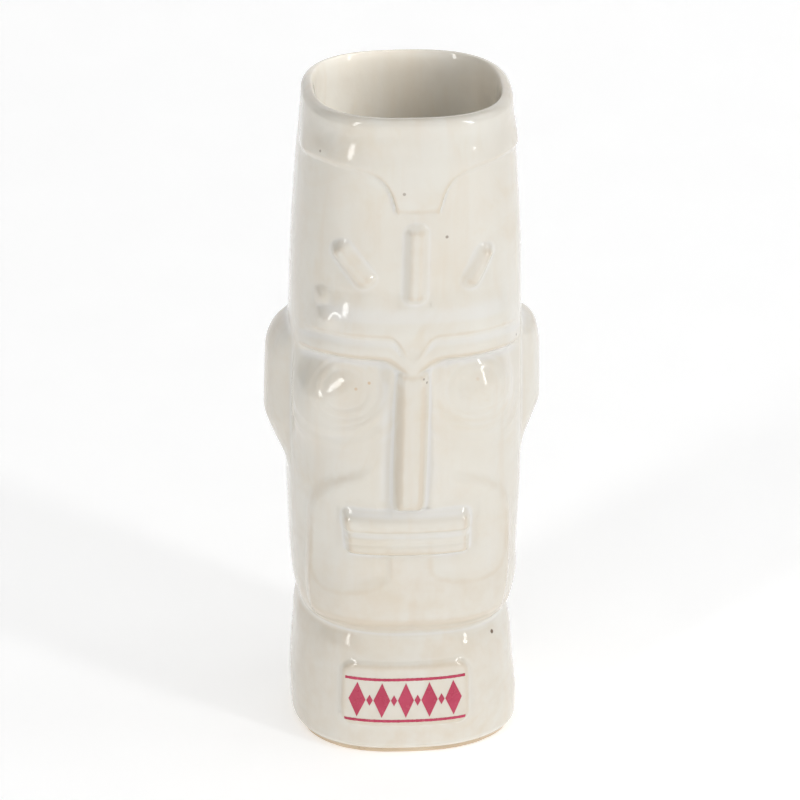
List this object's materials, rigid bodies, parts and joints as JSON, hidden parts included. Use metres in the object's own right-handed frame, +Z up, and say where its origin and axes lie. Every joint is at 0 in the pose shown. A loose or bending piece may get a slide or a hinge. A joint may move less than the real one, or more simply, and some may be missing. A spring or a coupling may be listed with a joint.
{
  "type": "tiki mug",
  "caption": "Tall ceramic drinking mug carved as a long-nosed, flat-browed face with side ears, standing on a short plinth with a raised panel.",
  "frame": {"origin": "centre of the foot ring's resting face, on the surface that the mug stands on", "axes": "+Z up the mug to the rim, -Y out of the face, +X to the viewer's right when facing it"},
  "size_m": [0.0774, 0.0687, 0.1916],
  "materials": {
    "glaze": "glossy ivory glaze, thinner and buff on raised edges",
    "bare_clay": "dry unglazed buff stoneware",
    "print": "fired-on crimson overglaze print"
  },
  "bodies": {
    "root": {"cup_body": "glaze", "foot_ring": "bare_clay", "left_ear": "glaze", "right_ear": "glaze", "hair_band": "glaze", "left_forehead_bar": "glaze", "centre_forehead_bar": "glaze", "right_forehead_bar": "glaze", "upper_brow": "glaze", "lower_brow": "glaze", "left_eye": "glaze", "right_eye": "glaze", "nose": "glaze", "left_jowl": "glaze", "right_jowl": "glaze", "jaw": "glaze", "upper_lip": "glaze", "middle_lip": "glaze", "lower_lip": "glaze", "plinth_panel": "glaze", "printed_band": "print"}
  },
  "joints": []
}
